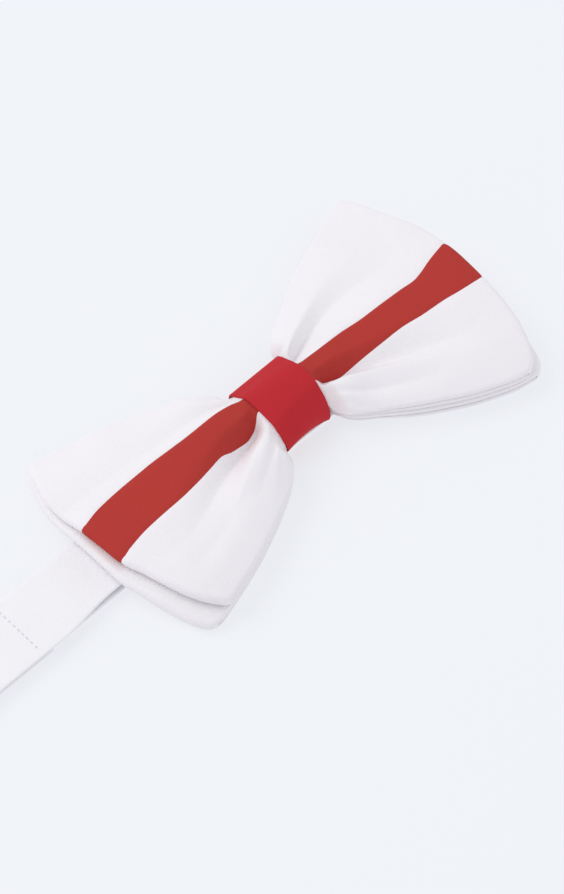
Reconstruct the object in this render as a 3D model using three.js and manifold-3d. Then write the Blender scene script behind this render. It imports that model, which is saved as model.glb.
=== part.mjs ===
// A pre-tied bow tie lying face up with its neckband unfastened.
// Millimetres, +Z up out of the bow's front, +X along the bow. The origin is under the knot, on the underside
// of the long half of the neckband, which lies folded back beneath the bow.

import * as THREE from 'three';
import { mergeVertices } from 'three/addons/utils/BufferGeometryUtils.js';
import Module from 'manifold-3d';

const wasm = await Module();
wasm.setup();

// ---- driving dimensions ----

const gap = 0.3; // running clearance between pieces that touch
const layerGap = 0.15; // between two layers of one folded wall

const strapWidth = 19;
const strapThick = 0.9;
const foldInset = 22; // from the far wing's end to the fold of the long half
const stitchRun = 24; // from the near wing's end to the row of stitches
const turnedEnd = 26.8; // from the row of stitches to the eye's bar
const turnedLap = 3; // how far the turned-back end reaches past its stitches
const plySettle = 9; // from the eye's bar to where the two plies lie flat on each other
const eyeMargin = 2.5; // strap left between the eye and the start of the climb

const barRadius = 0.6; // round bars of the eye and the hook
const barClearance = 0.3; // between a bar and the strap folded round it
const railWidth = 2; // metal beside a strap
const railClearance = 0.5; // between a strap's edge and the metal beside it
const plateThick = 1.2;
const eyeSlotReach = 2.3; // from the eye's bar to its middle rail
const eyeWindow = 6; // opening that the hook drops into
const eyeWindowHalf = 7;
const hookPlateThick = 1;

const backBowHalf = 66; // half span of the back bow
const tierReveal = 2.4; // how far the back bow shows past the front one
const endSweep = 9.5; // how far the wing corners fall short of the wing's middle
const waistInset = 0.5; // how much narrower the waist is than the strap
const wingFlare = 28.5; // how much wider a wing's half width gets than the waist
const flareLength = 18;
const flareStart = 0.7; // beyond the knot's end
const tierThick = 3.2;
const tierGap = 0.4;
const shellThick = 0.35;
const interliningThick = 0.3;
const facingThick = 0.3;
const stripeShare = 0.24; // half width of the stripe as a share of the wing's
const pleatHeight = 1.4;
const footRun = 17.5; // from the strap's edge out to where the wings rest on the table

const knotLength = 17;
const wrapThick = 0.7;
const knotInterliningThick = 0.35;
const threadRadius = 0.25;
const threadTurns = 2;
const threadPitch = 0.9;
const knotSideClearance = 0.55; // between the strap's edge and the knot's lining
const knotCorner = 4.2; // rounding of the knot's front edges
const knotFootShare = 0.35; // how much less its back edges are rounded
const wrapSeamGap = 1.3; // where the wrap's two ends meet at the back

const sliderLength = 14;
const sliderClimb = 6.4; // length over which the strap climbs onto the slider's middle bar
const adjustingLoop = 50; // from the slider's near end to the hook's bar
const sliderBarLength = 2.4;
const sliderBarThick = 0.9;
const loopThick = 0.6; // the strap's thinned end round the slider's middle bar
const loopClearance = 0.15;
const loopLap = 4; // how far the thinned end runs on from the slider's middle bar
const climbPast = 0.5; // how far inside the slider the climb ends
const endBarLength = 2.2; // the slider's two outer bars
const endBarThick = 1;
const steadyRun = 13; // from the hook's bar to where the strap's adjusting stretch begins
const turnRun = 4; // straight ends of the turn round the hook's bar
const hookReach = 14; // from the hook's bar to its nose
const hookWebReach = 2.4; // from the hook's bar to its cross web
const hookWebWidth = 3;
const hookTongue = 8; // width of the hook's tongue
const hookMouth = 1.7; // gap under the hook's tongue
const tongueReturn = 6; // how far the tongue runs back from its nose

const stitchRadius = 0.18;
const stitchPitch = 1.6;
const stitchInset = 2; // between a row of stitches and the strap's edge
const notchRoom = 0.2; // beside and under the thread where it sinks into the cloth

// ---- heights of the stack, from the table up ----

const wrapLow = strapThick + gap;
const innerStrapLow = wrapLow + wrapThick + gap;
const innerStrapHigh = innerStrapLow + strapThick;
const wingLow = innerStrapHigh + gap;
const threadLow = innerStrapHigh + gap;
const waistLow = threadLow + 2 * threadRadius + gap;
const waistHigh = waistLow + pleatHeight + 2 * tierThick + tierGap;
const threadHigh = waistHigh + gap + 2 * threadRadius;
const knotLiningHigh = threadHigh + layerGap + knotInterliningThick;
const wrapHigh = knotLiningHigh + layerGap + wrapThick;

const strapHalf = strapWidth / 2;
const waistHalfWidth = strapHalf - waistInset;
const railInner = strapHalf + railClearance;
const railOuter = railInner + railWidth;

// ---- places along the neckband ----

const bendX = -backBowHalf; // where the short half leaves the bow
const longFoldX = backBowHalf - foldInset;
const stitchRowX = bendX - stitchRun;
const shortEndX = stitchRowX - turnedEnd; // middle of the eye's bar
const eyeFarX = shortEndX - eyeSlotReach - eyeWindow - 2 * railWidth;
const riseStartX = eyeFarX - eyeMargin;
const sliderX = riseStartX - sliderClimb; // the slider's end nearest the bow
const hookBarX = sliderX - adjustingLoop;

// ---- helpers ----

const bow = new THREE.Group();

const cloth = { white: 0xf1eff2, facing: 0xe9e7ea, lining: 0xdcd8cf, stripe: 0xb04540, knot: 0xb3323c };
const thread = { white: 0xe4e2e6, knot: 0x9c2833 };
const nickel = 0xc9cacc;

function material(colour, metalness = 0) {
  return new THREE.MeshStandardMaterial({ color: colour, roughness: metalness ? 0.3 : 0.85, metalness });
}

function addPiece(name, geometry, colour, metalness) {
  const piece = new THREE.Mesh(geometry, material(colour, metalness));
  piece.name = name;
  bow.add(piece);
  return piece;
}

function smooth(low, high, value) {
  const t = Math.min(Math.max((value - low) / (high - low), 0), 1);
  return t * t * (3 - 2 * t);
}

// A closed band: every section is a ring of points, and the last section joins the first. The second half of
// a ring runs back beside the first. All faces are split the same way in X, so that nested bands stay apart.
function loopedBand(sections) {
  const count = sections[0].length;
  const positions = sections.flat().flatMap((p) => [p.x, p.y, p.z]);
  const indices = [];
  for (let i = 0; i < sections.length; i++) {
    const next = (i + 1) % sections.length;
    const backward = sections[next][0].x < sections[i][0].x;
    for (let j = 0; j < count; j++) {
      const k = (j + 1) % count;
      const [a, b] = [i * count + j, i * count + k];
      const [c, d] = [next * count + j, next * count + k];
      const returning = j >= count / 2;
      if (backward === returning) indices.push(a, c, b, b, c, d);
      else indices.push(a, c, d, a, d, b);
    }
  }
  const geometry = new THREE.BufferGeometry();
  geometry.setAttribute('position', new THREE.Float32BufferAttribute(positions, 3));
  geometry.setIndex(indices);
  return geometry;
}

function shapeOf(outline) {
  return new THREE.Shape(outline.map(([across, up]) => new THREE.Vector2(across, up)));
}

// An outline in X and Z, drawn with its inside on the left, made a strap's width in Y.
function acrossStrap(outline, width) {
  const geometry = new THREE.ExtrudeGeometry(shapeOf(outline), { depth: width, bevelEnabled: false });
  return geometry.rotateX(Math.PI / 2).translate(0, width / 2, 0);
}

// Points round an arc in X and Z, from one angle to another in degrees.
function arc(x, z, radius, from, to, steps = 8) {
  return Array.from({ length: steps + 1 }, (_, i) => {
    const angle = THREE.MathUtils.degToRad(from + ((to - from) * i) / steps);
    return [x + radius * Math.cos(angle), z + radius * Math.sin(angle)];
  });
}

function toManifold(geometry) {
  const plain = geometry.clone();
  plain.deleteAttribute('normal');
  plain.deleteAttribute('uv');
  const merged = mergeVertices(plain, 1e-4);
  return new wasm.Manifold(new wasm.Mesh({
    numProp: 3,
    vertProperties: new Float32Array(merged.attributes.position.array),
    triVerts: new Uint32Array(merged.index.array),
  }));
}

function fromManifold(solid) {
  const mesh = solid.getMesh();
  const geometry = new THREE.BufferGeometry();
  geometry.setAttribute('position', new THREE.Float32BufferAttribute(mesh.vertProperties, 3));
  geometry.setIndex(Array.from(mesh.triVerts));
  return geometry;
}

function joined(geometries) {
  return fromManifold(geometries.map(toManifold).reduce((all, one) => all.add(one)));
}

function block(x0, x1, y0, y1, z0, z1) {
  const geometry = new THREE.BoxGeometry(x1 - x0, y1 - y0, z1 - z0);
  return geometry.translate((x0 + x1) / 2, (y0 + y1) / 2, (z0 + z1) / 2);
}

function crossBar(x, z, radius, halfLength) {
  return new THREE.CylinderGeometry(radius, radius, 2 * halfLength, 16).translate(x, 0, z);
}

// A thread along a line of points, either as a smooth curve or pulled straight from point to point.
function threadAlong(points, radius, steps, pulled = false) {
  const section = new THREE.Shape();
  section.absarc(0, 0, radius, 0, 2 * Math.PI);
  const path = new THREE.CatmullRomCurve3(points, false, pulled ? 'catmullrom' : 'centripetal', 0);
  const options = { steps, bevelEnabled: false, extrudePath: path, curveSegments: 3 };
  return new THREE.ExtrudeGeometry(section, options);
}

// A row of stitches as one thread that dips between holes.
function stitchRow(x, z, halfLength) {
  const stitches = Math.round((2 * halfLength) / stitchPitch);
  const steps = stitches * 4;
  const points = Array.from({ length: steps + 1 }, (_, i) => {
    const dip = 0.3 * stitchRadius * Math.cos((i / 4) * 2 * Math.PI);
    return new THREE.Vector3(x, -halfLength + (2 * halfLength * i) / steps, z - dip);
  });
  return threadAlong(points, stitchRadius, steps);
}

// ---- the two bows: each a flat tube of cloth folded into a loop ----

const widthLines = [-1, -0.78, -0.45, -stripeShare, 0, stripeShare, 0.45, 0.78, 1];
const knotEdge = knotLength / 2;
const flareX = knotEdge + 1;
const flareRun = backBowHalf - 2 * endSweep - flareX;
const stations = [knotEdge - 4.5, flareX, ...[0.15, 0.35, 0.65, 1].map((share) => flareX + share * flareRun)];

function wingHalfWidth(x) {
  const outward = Math.max(Math.abs(x) - knotEdge - flareStart, 0);
  return waistHalfWidth + wingFlare * (1 - Math.exp(-outward / flareLength));
}

// One crest along the middle, a valley each side and a low bulge near each edge.
function pleat(v) {
  const across = Math.abs(v);
  const crest = 1 - smooth(0, 0.45, across);
  const bulge = 0.7 * (smooth(0.45, 0.75, across) - smooth(0.75, 1, across));
  return crest + bulge;
}

// The underside of the back bow, level with the table where the wings rest on it.
function restHeight(x, y, v) {
  const reach = Math.abs(x);
  const base = waistLow - (waistLow - wingLow) * smooth(knotEdge, 0.6 * backBowHalf, reach);
  const fold = pleatHeight * (1 - smooth(knotEdge, 0.9 * backBowHalf, reach)) * pleat(v);
  const lift = 1 - smooth(strapHalf + 1.5, strapHalf + footRun, Math.abs(y));
  return (base + fold) * lift;
}

function endReach(halfSpan, v) {
  return halfSpan - endSweep * Math.abs(v) ** 2.2;
}

// A layer's line of points round the loop at one share of the width, `depth` in from the outside.
function loopLine(tier, v, depth, inset = 0) {
  const radius = tierThick / 2;
  const outline = [];
  for (const side of [1, -1]) {
    const centreX = endReach(tier.halfSpan, v) - radius;
    const xs = [...stations, centreX];
    const at = (x, up) => {
      const y = v * wingHalfWidth(x) + inset;
      const low = restHeight(x, y, v) + tier.lift;
      return new THREE.Vector3(side * x, y, up ? low + tierThick - depth : low + depth);
    };
    const top = xs.map((x) => at(x, true));
    const bottom = xs.map((x) => at(x, false));
    const y = v * wingHalfWidth(centreX) + inset;
    const middle = restHeight(centreX, y, v) + tier.lift + radius;
    const turn = [45, 0, -45].map((degrees) => {
      const angle = THREE.MathUtils.degToRad(degrees);
      const reach = (radius - depth) * Math.cos(angle);
      return new THREE.Vector3(side * (centreX + reach), y, middle + (radius - depth) * Math.sin(angle));
    });
    const line = [...top, ...turn, ...bottom.reverse()];
    outline.push(...(side > 0 ? line : line.reverse()));
  }
  return outline;
}

function bowLayer(tier, depth, thick, lines, insetLow = 0, insetHigh = 0) {
  const last = lines.length - 1;
  const insetOf = (i) => (i === 0 ? insetLow : i === last ? -insetHigh : 0);
  const outer = lines.map((v, i) => loopLine(tier, v, depth, insetOf(i)));
  const inner = lines.map((v, i) => loopLine(tier, v, depth + thick, insetOf(i))).reverse();
  const ring = [...outer, ...inner];
  return loopedBand(outer[0].map((_, s) => ring.map((line) => line[s])));
}

const backTier = { halfSpan: backBowHalf, lift: 0 };
const frontTier = { halfSpan: backBowHalf - tierReveal, lift: tierThick + tierGap };
const interliningDepth = shellThick + layerGap;
const facingDepth = interliningDepth + interliningThick + layerGap;

function addLinings(bowName, tier) {
  const interlining = bowLayer(tier, interliningDepth, interliningThick, widthLines);
  addPiece(`${bowName}_interlining`, interlining, cloth.lining);
  addPiece(`${bowName}_facing`, bowLayer(tier, facingDepth, facingThick, widthLines), cloth.facing);
}

function buildFrontBow() {
  const seam = layerGap / 2;
  const panels = [
    ['front_bow_bottom_panel', widthLines.slice(0, 4), 0, seam, cloth.white],
    ['front_bow_stripe', widthLines.slice(3, 6), seam, seam, cloth.stripe],
    ['front_bow_top_panel', widthLines.slice(5), seam, 0, cloth.white],
  ];
  for (const [name, lines, low, high, colour] of panels) {
    addPiece(name, bowLayer(frontTier, 0, shellThick, lines, low, high), colour);
  }
  addLinings('front_bow', frontTier);
}

function buildBackBow() {
  addPiece('back_bow_shell', bowLayer(backTier, 0, shellThick, widthLines), cloth.white);
  addLinings('back_bow', backTier);
}

// ---- the knot: cinching thread, lining and wrap ----

// A rounded rectangle in Y and Z, anticlockwise from the middle of its underside.
function knotOutline(halfWidth, low, high, corner) {
  const foot = corner * knotFootShare;
  const right = [...arc(halfWidth - foot, low + foot, foot, -90, 0, 4),
    ...arc(halfWidth - corner, high - corner, corner, 0, 90, 6)];
  const left = right.map(([y, z]) => [-y, z]).reverse();
  return [...right, ...left];
}

function alongKnot(shape) {
  const geometry = new THREE.ExtrudeGeometry(shape, { depth: knotLength, bevelEnabled: false });
  const axes = new THREE.Matrix4().makeBasis(
    new THREE.Vector3(0, 1, 0), new THREE.Vector3(0, 0, 1), new THREE.Vector3(1, 0, 0));
  return geometry.applyMatrix4(axes).translate(-knotLength / 2, 0, 0);
}

function buildKnot() {
  const liningInner = strapHalf + knotSideClearance;
  const liningOuter = liningInner + knotInterliningThick;
  const wrapInner = liningOuter + layerGap;
  const wrapOuter = wrapInner + wrapThick;
  const liningLow = wrapLow + wrapThick;
  const cornerAt = (halfWidth) => knotCorner - (wrapOuter - halfWidth);
  const courseOf = (halfWidth, low, high) => knotOutline(halfWidth, low, high, cornerAt(halfWidth));

  const threadHalf = liningInner - layerGap - threadRadius;
  const course = courseOf(threadHalf, threadLow + threadRadius, threadHigh - threadRadius);
  const points = [];
  for (let turn = 0; turn < threadTurns; turn++) {
    course.forEach(([y, z], i) => {
      const x = threadPitch * (turn + i / course.length - threadTurns / 2);
      points.push(new THREE.Vector3(x, y, z));
    });
  }
  addPiece('waist_thread', threadAlong(points, threadRadius, 44 * threadTurns, true), thread.white);

  // The lining covers the front and sides, down to the top of the strap that the bow is sewn to.
  const aboveStrap = ([, z]) => z > innerStrapHigh;
  const liningFront = courseOf(liningOuter, liningLow, knotLiningHigh).filter(aboveStrap);
  const liningBack = courseOf(liningInner, liningLow, threadHigh + layerGap).filter(aboveStrap);
  const lining = [
    [liningOuter, innerStrapHigh],
    ...liningFront,
    [-liningOuter, innerStrapHigh],
    [-liningInner, innerStrapHigh],
    ...liningBack.reverse(),
    [liningInner, innerStrapHigh],
  ];
  addPiece('knot_interlining', alongKnot(shapeOf(lining)), cloth.lining);

  const seam = wrapSeamGap / 2;
  const wrap = [
    [seam, wrapLow],
    ...courseOf(wrapOuter, wrapLow, wrapHigh),
    [-seam, wrapLow],
    [-seam, wrapLow + wrapThick],
    ...courseOf(wrapInner, wrapLow + wrapThick, wrapHigh - wrapThick).reverse(),
    [seam, wrapLow + wrapThick],
  ];
  addPiece('knot_wrap', alongKnot(shapeOf(wrap)), cloth.knot);

  const stitches = stitchRow(0, wrapLow + wrapThick / 2, knotLength / 2 - stitchInset);
  addPiece('knot_stitches', stitches.rotateZ(Math.PI / 2), thread.knot);
}

// ---- the neckband ----

// The outline of a strap folded round a bar that lies toward -X, as two plies and the turn that joins them.
function foldedEnd(x, z, inner, thick, upperEnd, lowerEnd) {
  const outer = inner + thick;
  const [upperX, upperLow] = upperEnd;
  const [lowerX, lowerHigh] = lowerEnd;
  return [
    ...arc(x, z, outer, 90, 270, 10),
    [lowerX, lowerHigh - thick],
    [lowerX, lowerHigh],
    ...arc(x, z, inner, 270, 90, 10),
    [upperX, upperLow],
    [upperX, upperLow + thick],
  ];
}

function buildNeckbandCentre() {
  const low = innerStrapLow;
  const outline = [[bendX, low], [longFoldX, low], [longFoldX, innerStrapHigh], [bendX, innerStrapHigh]];
  addPiece('neckband_centre', acrossStrap(outline, strapWidth), cloth.white);
}

function buildShortStrap() {
  const inner = barRadius + barClearance;
  const barZ = strapThick + gap + inner + strapThick;
  const lowerHigh = strapThick + gap + strapThick;
  const upperLow = lowerHigh + gap;
  const upperHigh = upperLow + strapThick;
  const notchHalf = stitchRadius + notchRoom;
  const notchFloor = upperHigh - 2 * stitchRadius - notchRoom;
  const lapX = stitchRowX + turnedLap;
  const settle = shortEndX + plySettle;
  const outline = [
    ...arc(shortEndX, barZ, inner + strapThick, 90, 270, 10),
    [settle, lowerHigh - strapThick],
    [lapX, lowerHigh - strapThick],
    [lapX, lowerHigh],
    [settle, lowerHigh],
    ...arc(shortEndX, barZ, inner, 270, 90, 10),
    [settle, upperLow],
    [lapX, upperLow],
    [bendX - gap, innerStrapLow],
    [bendX - gap, innerStrapHigh],
    [lapX, upperHigh],
    [stitchRowX + notchHalf, upperHigh],
    [stitchRowX + notchHalf, notchFloor],
    [stitchRowX - notchHalf, notchFloor],
    [stitchRowX - notchHalf, upperHigh],
    [settle, upperHigh],
  ];
  addPiece('short_strap', acrossStrap(outline, strapWidth), cloth.white);
  const row = stitchRow(stitchRowX, upperHigh - stitchRadius, strapHalf - stitchInset);
  addPiece('short_strap_stitches', row, thread.white);
  return barZ;
}

function buildEye(barZ) {
  const rim = railWidth;
  const rimX = eyeFarX + rim;
  const outline = new THREE.Shape();
  outline.moveTo(shortEndX, -railOuter);
  outline.lineTo(shortEndX, railOuter);
  outline.lineTo(rimX, railOuter);
  outline.absarc(rimX, railOuter - rim, rim, Math.PI / 2, Math.PI);
  outline.absarc(rimX, rim - railOuter, rim, Math.PI, 1.5 * Math.PI);
  const windowShape = new THREE.Path();
  windowShape.moveTo(rimX, -eyeWindowHalf);
  windowShape.lineTo(rimX + eyeWindow, -eyeWindowHalf);
  windowShape.lineTo(rimX + eyeWindow, eyeWindowHalf);
  windowShape.lineTo(rimX, eyeWindowHalf);
  outline.holes.push(windowShape);
  const plate = { depth: plateThick, bevelEnabled: false, curveSegments: 5 };
  const sheet = new THREE.ExtrudeGeometry(outline, plate);
  sheet.translate(0, 0, barZ - plateThick / 2);
  const cutter = block(shortEndX - eyeSlotReach, shortEndX + 1, -railInner, railInner, barZ - 2, barZ + 2);
  const frame = toManifold(sheet).subtract(toManifold(cutter));
  const solid = frame.add(toManifold(crossBar(shortEndX, barZ, barRadius, railOuter)));
  addPiece('neckband_eye', fromManifold(solid), nickel, 1);
}

function buildLongFold() {
  const foldRadius = innerStrapHigh / 2;
  const fold = [
    ...arc(longFoldX + gap, foldRadius, foldRadius, -90, 90, 10),
    ...arc(longFoldX + gap, foldRadius, foldRadius - strapThick, 90, -90, 10),
  ];
  addPiece('long_strap_fold', acrossStrap(fold, strapWidth), cloth.white);
}

// The long half runs back under the bow, climbs over the slider's middle bar and turns round the hook's bar.
function buildLongStrap() {
  const turnInner = barRadius + barClearance;
  const runLow = strapThick + 2 * turnInner;
  const runHigh = runLow + strapThick;
  const steadyX = hookBarX + steadyRun;
  const climbX = sliderX - climbPast;
  const run = [
    [riseStartX, 0],
    [climbX, runLow],
    [steadyX, runLow],
    [steadyX, runHigh],
    [climbX, runHigh],
    [riseStartX, strapThick],
    [longFoldX, strapThick],
    [longFoldX, 0],
  ];
  addPiece('long_strap', acrossStrap(run, strapWidth), cloth.white);

  const turnX = hookBarX + turnRun;
  const reach = [
    [turnX + gap, runLow],
    [steadyX - gap, runLow],
    [steadyX - gap, runHigh],
    [turnX + gap, runHigh],
  ];
  addPiece('long_strap_reach', acrossStrap(reach, strapWidth), cloth.white);

  const barZ = strapThick + turnInner;
  const turn = foldedEnd(hookBarX, barZ, turnInner, strapThick, [turnX, runLow], [turnX, strapThick]);
  addPiece('strap_turn', acrossStrap(turn, strapWidth), cloth.white);
  return { runHigh, turnX, barZ };
}

// The strap's thinned end, sewn back on itself round the slider's middle bar, and the ply that leads to it.
function buildSliderLoop(turnX) {
  const middleX = sliderX - sliderLength / 2;
  const foldX = middleX + sliderBarLength / 2;
  const loopInner = sliderBarThick / 2 + loopClearance;
  const loopZ = loopThick + loopInner;
  const loopTop = loopZ + loopInner + loopThick;
  const loopEndX = middleX - sliderBarLength / 2 - loopLap;
  const tackX = loopEndX + stitchInset;
  const notchHalf = stitchRadius + notchRoom;
  const notchFloor = loopTop - 0.75 * loopThick;
  const loop = [
    [loopEndX, 0],
    ...arc(foldX, loopZ, loopInner + loopThick, -90, 90, 8),
    [tackX + notchHalf, loopTop],
    [tackX + notchHalf, notchFloor],
    [tackX - notchHalf, notchFloor],
    [tackX - notchHalf, loopTop],
    [loopEndX, loopTop],
    [loopEndX, loopTop - loopThick],
    ...arc(foldX, loopZ, loopInner, 90, -90, 8),
    [loopEndX, loopThick],
  ];
  addPiece('slider_loop', acrossStrap(loop, strapWidth), cloth.white);
  const tack = stitchRow(tackX, loopTop - 0.1, strapHalf - stitchInset);
  addPiece('slider_loop_stitches', tack, thread.white);

  const back = [
    [turnX + gap, 0],
    [loopEndX - gap, 0],
    [loopEndX - gap, strapThick],
    [turnX + gap, strapThick],
  ];
  addPiece('long_strap_return', acrossStrap(back, strapWidth), cloth.white);
  return { loopZ, middleX };
}

function buildSlider(runHigh, { loopZ, middleX }) {
  const farX = sliderX - sliderLength;
  const low = loopZ - sliderBarThick / 2;
  const barLow = runHigh + gap;
  const barHigh = barLow + endBarThick;
  const half = sliderBarLength / 2;
  const pieces = [
    block(farX, sliderX, railInner, railOuter, low, barHigh),
    block(farX, sliderX, -railOuter, -railInner, low, barHigh),
    block(sliderX - endBarLength, sliderX, -railOuter, railOuter, barLow, barHigh),
    block(farX, farX + endBarLength, -railOuter, railOuter, barLow, barHigh),
    block(middleX - half, middleX + half, -railOuter, railOuter, low, low + sliderBarThick),
  ];
  addPiece('slider', joined(pieces), nickel, 1);
}

function buildHook(barZ) {
  const half = hookPlateThick / 2;
  const webX = hookBarX - hookWebReach;
  const webMiddleX = webX - hookWebWidth / 2;
  const bendRadius = hookMouth / 2;
  const noseX = hookBarX - hookReach + bendRadius + hookPlateThick;
  const bendZ = barZ + half + bendRadius;
  const tongue = [
    [webMiddleX, barZ - half],
    [webMiddleX, barZ + half],
    ...arc(noseX, bendZ, bendRadius, 270, 90, 8),
    [noseX + tongueReturn, bendZ + bendRadius],
    [noseX + tongueReturn, bendZ + bendRadius + hookPlateThick],
    ...arc(noseX, bendZ, bendRadius + hookPlateThick, 90, 270, 8),
  ];
  const pieces = [
    crossBar(hookBarX, barZ, barRadius, railOuter),
    block(webX - hookWebWidth, webX, -railOuter, railOuter, barZ - half, barZ + half),
    block(webMiddleX, hookBarX, -railOuter, -railInner, barZ - half, barZ + half),
    block(webMiddleX, hookBarX, railInner, railOuter, barZ - half, barZ + half),
    acrossStrap(tongue, hookTongue),
  ];
  addPiece('hook', joined(pieces), nickel, 1);
}

buildBackBow();
buildFrontBow();
buildKnot();
buildNeckbandCentre();
buildEye(buildShortStrap());
buildLongFold();
const { runHigh, turnX, barZ } = buildLongStrap();
buildSlider(runHigh, buildSliderLoop(turnX));
buildHook(barZ);

export default bow;
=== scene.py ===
import bpy
import math
import numpy as np
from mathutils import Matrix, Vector


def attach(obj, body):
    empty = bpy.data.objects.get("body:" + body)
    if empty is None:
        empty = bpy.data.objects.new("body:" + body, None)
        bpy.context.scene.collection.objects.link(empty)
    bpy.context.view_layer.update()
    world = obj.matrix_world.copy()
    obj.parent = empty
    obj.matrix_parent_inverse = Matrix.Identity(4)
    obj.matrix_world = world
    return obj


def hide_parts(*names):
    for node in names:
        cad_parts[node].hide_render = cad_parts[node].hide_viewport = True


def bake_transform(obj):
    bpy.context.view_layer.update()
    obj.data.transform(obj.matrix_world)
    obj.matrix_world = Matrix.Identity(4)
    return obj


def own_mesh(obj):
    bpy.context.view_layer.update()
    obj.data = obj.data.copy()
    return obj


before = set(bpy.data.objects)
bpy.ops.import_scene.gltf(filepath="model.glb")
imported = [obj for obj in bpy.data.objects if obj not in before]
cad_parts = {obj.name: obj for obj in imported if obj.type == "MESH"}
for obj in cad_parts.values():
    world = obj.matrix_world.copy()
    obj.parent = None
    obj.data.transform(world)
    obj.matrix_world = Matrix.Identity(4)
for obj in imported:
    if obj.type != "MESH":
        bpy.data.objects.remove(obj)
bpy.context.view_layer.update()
mm = 0.001


def curve(points):
    # a smooth line through (place, value) points that never swings past them, level beyond its ends
    x, y = np.array(points, float).T
    rise = np.diff(y) / np.diff(x)
    both = rise[1:] * rise[:-1]
    inner = np.where(both > 0, 2 * both / (rise[1:] + rise[:-1] + 1e-12), 0)
    slope = np.concatenate([rise[:1], inner, rise[-1:]])

    def value(at):
        at = np.clip(at, x[0], x[-1])
        i = np.clip(np.searchsorted(x, at, side="right") - 1, 0, len(x) - 2)
        h = x[i + 1] - x[i]
        t = (at - x[i]) / h
        level = y[i] * (1 + 2 * t) * (1 - t) ** 2 + y[i + 1] * t * t * (3 - 2 * t)
        return level + h * (slope[i] * t * (1 - t) ** 2 - slope[i + 1] * t * t * (1 - t))

    return value


def smooth(low, high, value):
    t = np.clip((np.asarray(value, float) - low) / (high - low), 0, 1)
    return t * t * (3 - 2 * t)


def ripple(x, y, seed, size):
    # soft unevenness of pressed cloth, from -1 to 1
    rng = np.random.default_rng(seed)
    total = np.zeros(np.broadcast(x, y).shape)
    for step in range(5):
        angle, phase = rng.uniform(0, math.pi), rng.uniform(0, 2 * math.pi)
        wave = 2 * math.pi / (size * (0.7 + 0.3 * step))
        total += np.sin(wave * (x * math.cos(angle) + y * math.sin(angle)) + phase)
    return total / 5


def deselectAll():
    if bpy.context.object and bpy.context.object.mode != "OBJECT":
        bpy.ops.object.mode_set(mode="OBJECT")
    bpy.ops.object.select_all(action="DESELECT")


def makeActive(piece):
    deselectAll()
    piece.select_set(True)
    bpy.context.view_layer.objects.active = piece


def applyModifier(piece, kind, **settings):
    makeActive(piece)
    modifier = piece.modifiers.new(kind.title(), kind)
    for key, value in settings.items():
        setattr(modifier, key, value)
    bpy.ops.object.modifier_apply(modifier=modifier.name)


def smoothShade(piece, degrees=40):
    makeActive(piece)
    bpy.ops.object.shade_smooth_by_angle(angle=math.radians(degrees))


def closeHoles(piece):
    makeActive(piece)
    bpy.ops.object.mode_set(mode="EDIT")
    bpy.ops.mesh.select_all(action="DESELECT")
    bpy.ops.mesh.select_mode(type="EDGE")
    bpy.ops.mesh.select_non_manifold()
    bpy.ops.mesh.fill_holes(sides=0)
    bpy.ops.object.mode_set(mode="OBJECT")


def clothGrid(name, points, flip=False, closed=False):
    # points run in rows along the cloth and in columns across it, in millimetres
    rows, columns = points.shape[:2]
    deselectAll()
    bpy.ops.mesh.primitive_grid_add(x_subdivisions=columns - 1, y_subdivisions=rows - 1, size=1)
    piece = bpy.context.object
    piece.name = piece.data.name = name
    flatPlaces = np.empty(len(piece.data.vertices) * 3)
    piece.data.vertices.foreach_get("co", flatPlaces)
    flatPlaces = flatPlaces.reshape(-1, 3)
    row = np.rint((flatPlaces[:, 1] + 0.5) * (rows - 1)).astype(int)
    column = np.rint((flatPlaces[:, 0] + 0.5) * (columns - 1)).astype(int)
    piece.data.vertices.foreach_set("co", (points[row, column] * mm).ravel())
    along = np.linalg.norm(np.diff(points, axis=0), axis=2)
    across = np.linalg.norm(np.diff(points, axis=1), axis=2)
    alongSum = np.vstack([np.zeros(columns), np.cumsum(along, axis=0)])
    acrossSum = np.hstack([np.zeros((rows, 1)), np.cumsum(across, axis=1)])
    corner = np.empty(len(piece.data.loops), int)
    piece.data.loops.foreach_get("vertex_index", corner)
    weaveMap = np.stack([acrossSum[row, column], alongSum.mean(1)[row]], 1)[corner]
    piece.data.uv_layers.active.data.foreach_set("uv", weaveMap.ravel())
    piece.data.update()
    makeActive(piece)
    bpy.ops.object.mode_set(mode="EDIT")
    bpy.ops.mesh.select_all(action="SELECT")
    if closed:
        bpy.ops.mesh.remove_doubles(threshold=1e-6)
    if flip:
        bpy.ops.mesh.flip_normals()
    bpy.ops.object.mode_set(mode="OBJECT")
    return piece


def give(piece, material, nodes, body=None):
    # what a finished piece is made of, which CAD nodes it stands for and which body carries it
    piece.data.materials.clear()
    piece.data.materials.append(material)
    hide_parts(*nodes)
    if body:
        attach(piece, body)


def linear(red, green, blue):
    return tuple(((c / 255 + 0.055) / 1.055) ** 2.4 for c in (red, green, blue)) + (1.0,)


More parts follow.
